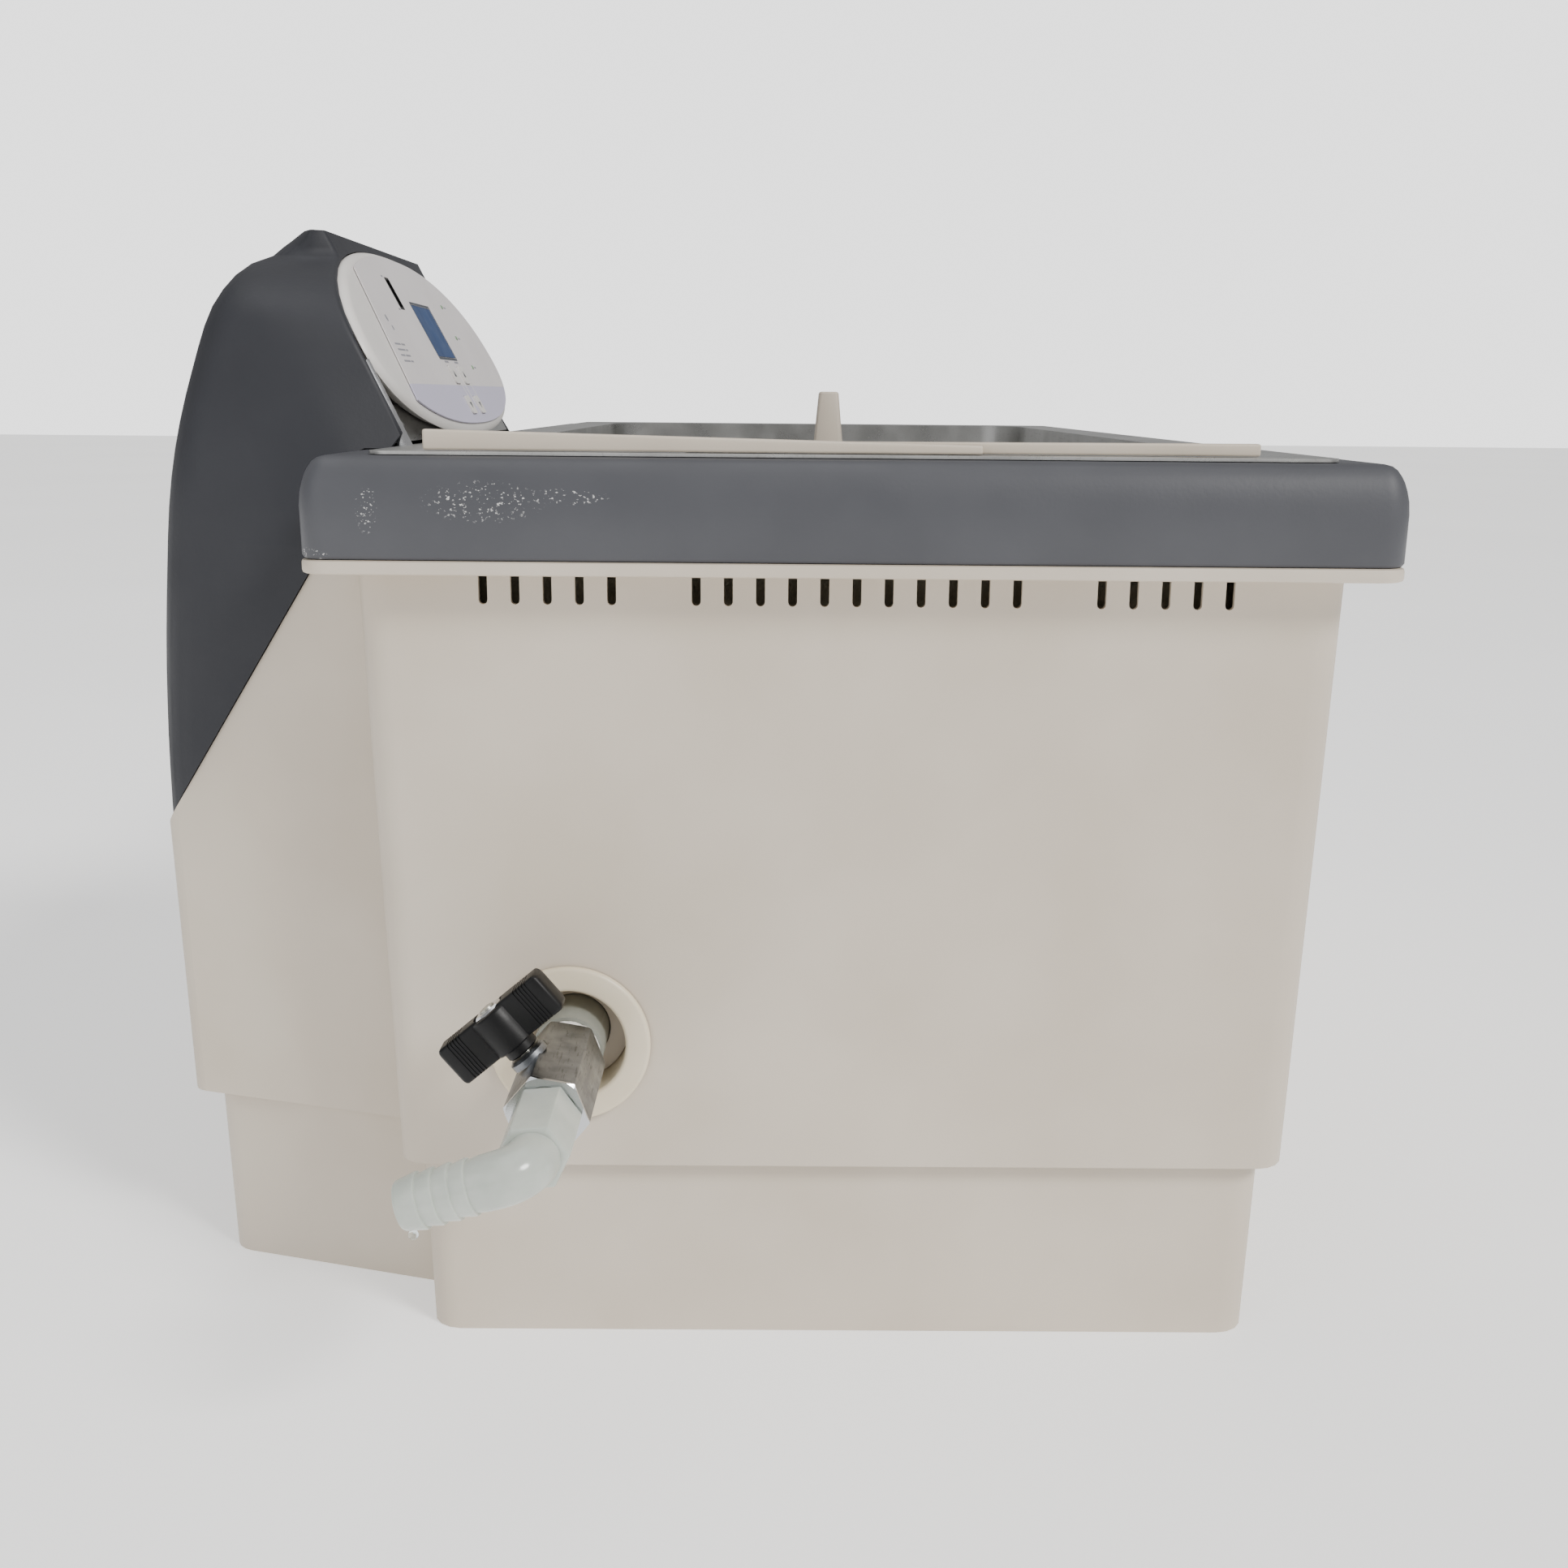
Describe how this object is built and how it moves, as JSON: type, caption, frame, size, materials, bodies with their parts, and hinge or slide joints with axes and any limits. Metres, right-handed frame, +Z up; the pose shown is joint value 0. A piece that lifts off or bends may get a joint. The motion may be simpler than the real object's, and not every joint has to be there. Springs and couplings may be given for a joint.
{
  "type": "water bath",
  "caption": "Bench water bath with a deep open tank, an orbital shaking tray, a rear control console and a side drain valve with a hose elbow.",
  "frame": {"origin": "on the bench, under the centre of the bath, on the underside of the base pan", "axes": "+Z up; +X along the long side, away from the drain end; +Y to the rear, where the console stands; the user stands at -Y"},
  "size_m": [0.8524, 0.4746, 0.43],
  "materials": {
    "beige_abs": "fine moulded texture",
    "dark_grey_abs": "fine leathery moulded texture",
    "white_abs": "satin",
    "membrane_film": "satin printed film",
    "cream_pvc": "satin",
    "stainless": "brushed",
    "chromed_brass": "dull, worn chrome",
    "bare_brass": "machined",
    "black_nylon": "satin moulded",
    "natural_nylon": "translucent, satin",
    "ptfe": "soft white",
    "grey_pvc": "matte",
    "black_rubber": "matte",
    "insulating_foam": "open foam",
    "zinc_steel": "zinc plated",
    "motor_paint": "satin enamel",
    "display_glass": "blue backlit window",
    "circuit_board": "solder mask"
  },
  "bodies": {
    "bath": {"base_pan": "beige_abs", "console_hood": "dark_grey_abs", "console_pod": "white_abs", "control_board": "circuit_board", "display_window": "display_glass", "drain_pipe": "grey_pvc", "drain_ring": "cream_pvc", "drive_beam": "zinc_steel", "drive_belt": "black_rubber", "drive_motor": "motor_paint", "foot_front_drain": "black_rubber", "foot_front_far": "black_rubber", "foot_rear_drain": "black_rubber", "foot_rear_far": "black_rubber", "fuse_holder": "black_nylon", "heater_element": "stainless", "heater_gland_front": "bare_brass", "heater_gland_rear": "bare_brass", "hose_elbow": "natural_nylon", "housing": "beige_abs", "idler_bearing": "zinc_steel", "insulation_jacket": "insulating_foam", "keypad_overlay": "membrane_film", "main_bearing": "zinc_steel", "packing_gland": "chromed_brass", "power_inlet": "black_nylon", "rim_band": "dark_grey_abs", "switch_frame": "black_nylon", "tank": "stainless", "tank_outlet": "stainless", "temperature_probe": "stainless", "thread_tape": "ptfe", "throat_plate": "stainless", "tower_shell": "beige_abs", "transformer": "zinc_steel", "trim_strip": "beige_abs", "valve_body": "chromed_brass", "valve_nipple": "bare_brass", "valve_seat_in": "ptfe", "valve_seat_out": "ptfe"},
    "temp_up": {"key_temp_up": "white_abs"},
    "temp_down": {"key_temp_down": "white_abs"},
    "speed_up": {"key_speed_up": "white_abs"},
    "speed_down": {"key_speed_down": "white_abs"},
    "rocker": {"power_rocker": "black_nylon"},
    "valve_turn": {"valve_handle": "black_nylon", "handle_nut": "chromed_brass", "valve_stem": "zinc_steel", "valve_ball": "chromed_brass"},
    "rear_rail": {"cover_rail_rear": "beige_abs"},
    "front_rail": {"cover_rail_front": "beige_abs"},
    "crank": {"crank_shaft": "zinc_steel", "crank_pulley": "black_nylon"},
    "idler": {"idler_crank": "zinc_steel"},
    "carriage": {"magnet_carriage": "zinc_steel", "drive_magnets": "zinc_steel"},
    "tray": {"tray_sled": "black_nylon", "shaking_tray": "stainless", "tray_handle": "beige_abs"},
    "motor_rotor": {"motor_pulley": "zinc_steel"}
  },
  "joints": [
    {"name": "temp_up_press", "type": "slide", "parent": "bath", "child": "temp_up", "axis": [0, 0.8829, -0.4695], "range_m": [0, 0.0006], "stiffness_N_per_m": 800},
    {"name": "temp_down_press", "type": "slide", "parent": "bath", "child": "temp_down", "axis": [0, 0.8829, -0.4695], "range_m": [0, 0.0006], "stiffness_N_per_m": 800},
    {"name": "speed_up_press", "type": "slide", "parent": "bath", "child": "speed_up", "axis": [0, 0.8829, -0.4695], "range_m": [0, 0.0006], "stiffness_N_per_m": 800},
    {"name": "speed_down_press", "type": "slide", "parent": "bath", "child": "speed_down", "axis": [0, 0.8829, -0.4695], "range_m": [0, 0.0006], "stiffness_N_per_m": 800},
    {"name": "power_switch", "type": "hinge", "parent": "bath", "child": "rocker", "pos_m": [-0.1765, 0.2017, 0.40614], "axis": [1, 0, 0], "range_deg": [-6, 6]},
    {"name": "valve_quarter_turn", "type": "hinge", "parent": "bath", "child": "valve_turn", "pos_m": [-0.3975, 0.104, 0.1255], "axis": [0, 0.6428, 0.766], "range_deg": [0, 90]},
    {"name": "rear_rail_lift", "type": "slide", "parent": "bath", "child": "rear_rail", "axis": [0, 0, 1], "range_m": [0, 0.12]},
    {"name": "front_rail_lift", "type": "slide", "parent": "bath", "child": "front_rail", "axis": [0, 0, 1], "range_m": [0, 0.12]},
    {"name": "crank_turn", "type": "hinge", "parent": "bath", "child": "crank", "pos_m": [0, 0, 0.09], "axis": [0, 0, 1], "continuous": true},
    {"name": "idler_turn", "type": "hinge", "parent": "bath", "child": "idler", "pos_m": [0.09, 0, 0.102], "axis": [0, 0, 1], "continuous": true},
    {"name": "carriage_pivot", "type": "hinge", "parent": "crank", "child": "carriage", "pos_m": [0.01, 0, 0.112], "axis": [0, 0, 1], "continuous": true},
    {"name": "motor_turn", "type": "hinge", "parent": "bath", "child": "motor_rotor", "pos_m": [0.16, 0, 0.09], "axis": [0, 0, 1], "continuous": true},
    {"name": "tray_lift", "type": "slide", "parent": "carriage", "child": "tray", "axis": [0, 0, 1], "range_m": [0, 0.18]}
  ],
  "couplings": [
    {"joint": "idler_turn", "follows": "crank_turn", "ratio": 1},
    {"joint": "carriage_pivot", "follows": "crank_turn", "ratio": -1},
    {"joint": "motor_turn", "follows": "crank_turn", "ratio": 3}
  ]
}
